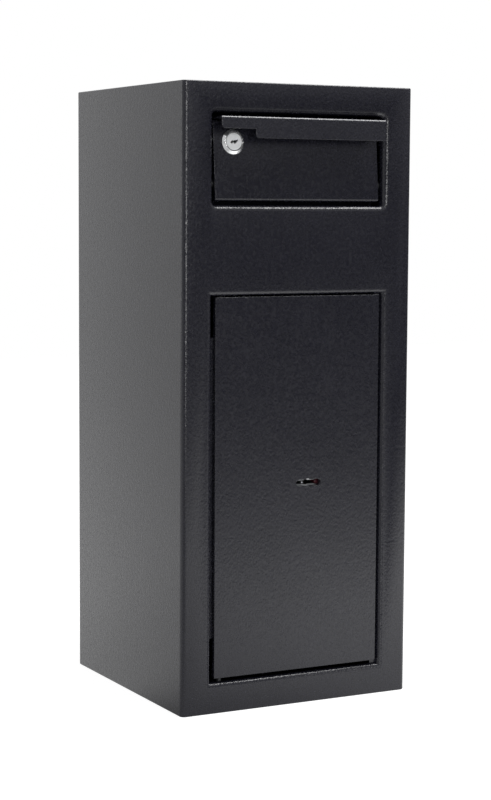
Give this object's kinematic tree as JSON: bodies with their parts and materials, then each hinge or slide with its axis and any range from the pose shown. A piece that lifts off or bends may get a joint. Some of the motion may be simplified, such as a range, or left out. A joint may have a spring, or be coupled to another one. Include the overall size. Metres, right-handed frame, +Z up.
{
  "type": "drop safe",
  "caption": "Upright steel drop safe with a tilting deposit drawer above and a key-locked, bolted vault door below.",
  "frame": {"origin": "centre of the base's underside, which rests on the floor or counter", "axes": "+X to the right seen from the front, +Y to the back, +Z up; the front face looks along -Y"},
  "size_m": [0.25, 0.2611, 0.6],
  "materials": {
    "black_coat": "charcoal black powder coat, semi-gloss, fine orange-peel texture",
    "zinc_steel": "bright zinc plated steel",
    "chrome_plate": "polished chrome plate",
    "bright_bolt": "turned bright steel",
    "dark_steel": "dull dark steel",
    "red_plastic": "dark red moulded plastic"
  },
  "bodies": {
    "cabinet": {"cabinet_wrap": "black_coat", "top_panel": "black_coat", "base_panel": "black_coat", "back_panel": "black_coat", "hopper_side_left": "black_coat", "hopper_side_right": "black_coat", "fishing_guard": "black_coat", "drawer_pivot_left": "dark_steel", "drawer_pivot_right": "dark_steel", "hinge_bracket_upper": "black_coat", "hinge_bracket_lower": "black_coat", "hinge_pin_upper": "zinc_steel", "hinge_pin_lower": "zinc_steel", "door_stop": "black_coat"},
    "drawer": {"drawer_front": "black_coat", "handle_lip": "black_coat", "drawer_cheek_left": "black_coat", "drawer_cheek_right": "black_coat", "drawer_tray": "black_coat", "cam_lock_housing": "chrome_plate", "cam_lock_nut": "zinc_steel"},
    "cam_lock": {"cam_lock_plug": "chrome_plate", "cam_lock_cam": "zinc_steel", "cam_lock_screw": "zinc_steel"},
    "door": {"door_leaf": "black_coat", "dog_bar": "black_coat", "hinge_lug_upper": "black_coat", "hinge_lug_lower": "black_coat", "bolt_housing": "black_coat", "bolt_cover": "black_coat", "cover_screw_1": "zinc_steel", "cover_screw_2": "zinc_steel", "cover_screw_3": "zinc_steel", "cover_screw_4": "zinc_steel", "lock_case": "dark_steel", "guide_stud_1": "zinc_steel", "guide_stud_2": "zinc_steel"},
    "key_driver": {"key_carrier": "zinc_steel", "ward_pin": "zinc_steel", "key_guide": "red_plastic", "key_crank": "zinc_steel"},
    "bolt_work": {"bolt_bar": "zinc_steel", "lock_bolt_1": "bright_bolt", "lock_bolt_2": "bright_bolt", "lock_bolt_3": "bright_bolt"}
  },
  "joints": [
    {"name": "drawer_tilt", "type": "hinge", "parent": "cabinet", "child": "drawer", "pos_m": [0, -0.111, 0.505], "axis": [1, 0, 0], "range_deg": [0, 45]},
    {"name": "drawer_lock_turn", "type": "hinge", "parent": "drawer", "child": "cam_lock", "pos_m": [-0.0693, -0.10792, 0.54358], "axis": [0, 0.9968, -0.0797], "range_deg": [0, 90]},
    {"name": "door_swing", "type": "hinge", "parent": "cabinet", "child": "door", "pos_m": [-0.08, -0.1137, 0.2], "axis": [0, 0, -1], "range_deg": [0, 110]},
    {"name": "key_turn", "type": "hinge", "parent": "door", "child": "key_driver", "pos_m": [0.0122, -0.1, 0.21715], "axis": [0, 1, 0], "range_deg": [0, 180]},
    {"name": "bolt_slide", "type": "slide", "parent": "door", "child": "bolt_work", "axis": [1, 0, 0], "range_m": [0, 0.014]}
  ],
  "couplings": [
    {"joint": "key_turn", "follows": "bolt_slide", "rad_per_m": 224.4}
  ]
}
